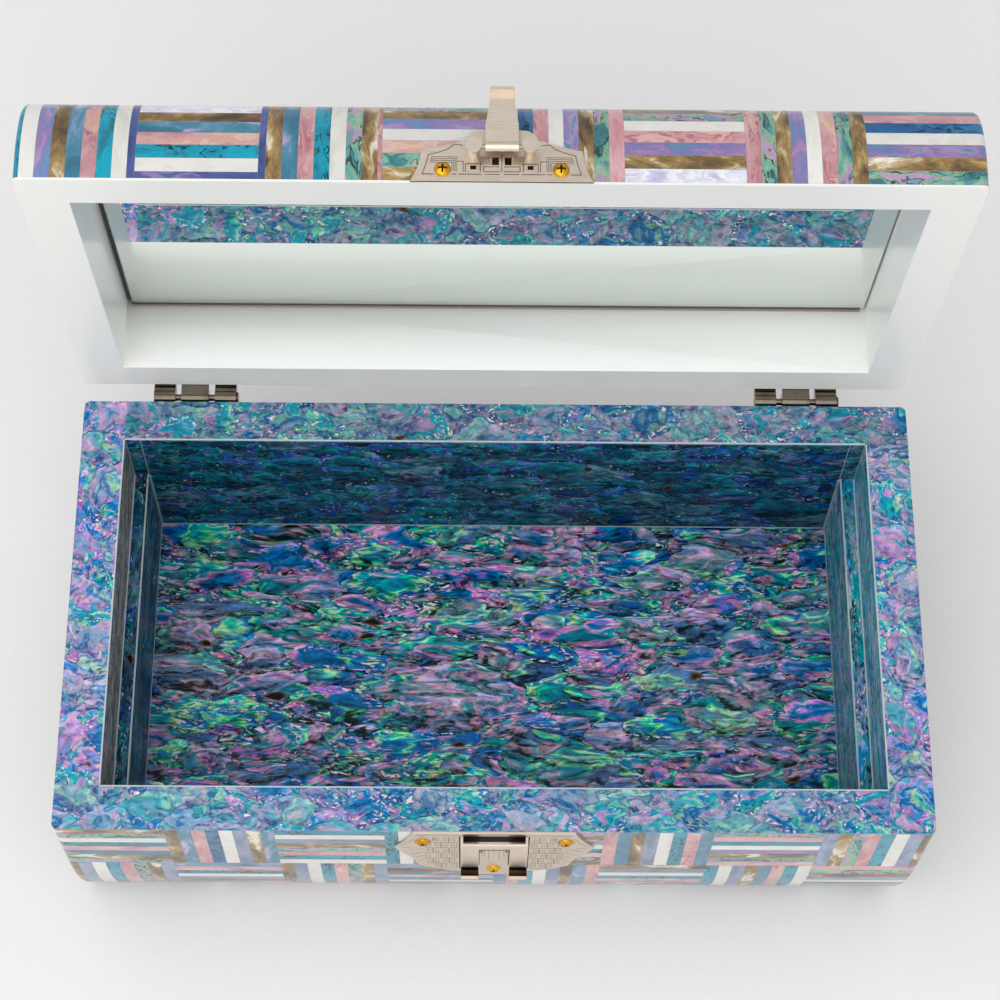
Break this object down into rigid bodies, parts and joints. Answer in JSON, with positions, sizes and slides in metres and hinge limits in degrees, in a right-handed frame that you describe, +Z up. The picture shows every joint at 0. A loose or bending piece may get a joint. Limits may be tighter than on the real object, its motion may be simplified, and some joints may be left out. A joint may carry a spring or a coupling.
{
  "type": "mother-of-pearl jewellery box",
  "caption": "Shell-covered jewellery box with a hinged mirror lid, a flip-over latch lever and catch, end ledges for a tray.",
  "frame": {"origin": "centre of the underside, on the surface that the box stands on", "axes": "+Z up, -Y towards the latch side, +X to the right of someone who faces the latch; the lid is open at rest"},
  "size_m": [0.3, 0.2103, 0.2608],
  "materials": {
    "fibreboard": "plain board, hidden under the shell",
    "lacquered_board": "white gloss lacquer",
    "ledge_board": "board faced with shell sheet under clear resin",
    "shell_strip_inlay": "shell strips under clear polished resin",
    "abalone_sheet": "abalone sheet under clear polished resin",
    "felt": "black felt",
    "mirror": "silvered glass",
    "backing_card": "grey card",
    "gilt_brass": "gilt, polished",
    "nickel_steel": "nickel plated",
    "nickel_plate": "warm nickel plate, polished"
  },
  "bodies": {
    "base": {"back_lining": "abalone_sheet", "base_back_inlay": "shell_strip_inlay", "base_back_wall": "fibreboard", "base_bottom_board": "fibreboard", "base_front_inlay": "shell_strip_inlay", "base_front_wall": "fibreboard", "base_hinge_leaf_left": "nickel_plate", "base_hinge_leaf_right": "nickel_plate", "base_hinge_screws": "nickel_steel", "base_left_inlay": "shell_strip_inlay", "base_left_wall": "fibreboard", "base_right_inlay": "shell_strip_inlay", "base_right_wall": "fibreboard", "catch_bracket": "nickel_plate", "catch_plate": "nickel_plate", "catch_screws": "gilt_brass", "floor_lining": "abalone_sheet", "front_lining": "abalone_sheet", "hinge_pin_left": "nickel_steel", "hinge_pin_right": "nickel_steel", "left_tray_ledge": "ledge_board", "left_upper_lining": "abalone_sheet", "right_tray_ledge": "ledge_board", "right_upper_lining": "abalone_sheet", "rim_strip_back": "abalone_sheet", "rim_strip_front": "abalone_sheet", "rim_strip_left": "abalone_sheet", "rim_strip_right": "abalone_sheet", "underside_felt": "felt"},
    "lid": {"latch_axle": "nickel_steel", "latch_plate": "nickel_plate", "latch_posts": "nickel_plate", "latch_screws": "gilt_brass", "lid_back_inlay": "shell_strip_inlay", "lid_back_rail": "lacquered_board", "lid_front_inlay": "shell_strip_inlay", "lid_front_rail": "lacquered_board", "lid_hinge_leaf_left": "nickel_plate", "lid_hinge_leaf_right": "nickel_plate", "lid_hinge_screws": "nickel_steel", "lid_left_inlay": "shell_strip_inlay", "lid_left_rail": "lacquered_board", "lid_right_inlay": "shell_strip_inlay", "lid_right_rail": "lacquered_board", "lid_top_board": "fibreboard", "lid_top_inlay": "shell_strip_inlay", "mirror_backing": "backing_card", "mirror_glass": "mirror"},
    "lever": {"latch_lever": "nickel_plate"}
  },
  "joints": [
    {"name": "lid_hinge", "type": "hinge", "parent": "base", "child": "lid", "pos_m": [0, 0.08465, 0.0842], "axis": [1, 0, 0], "range_deg": [0, 85]},
    {"name": "latch_lever_swing", "type": "hinge", "parent": "lid", "child": "lever", "pos_m": [0, 0.08328, 0.25593], "axis": [1, 0, 0], "range_deg": [0, 180]}
  ]
}
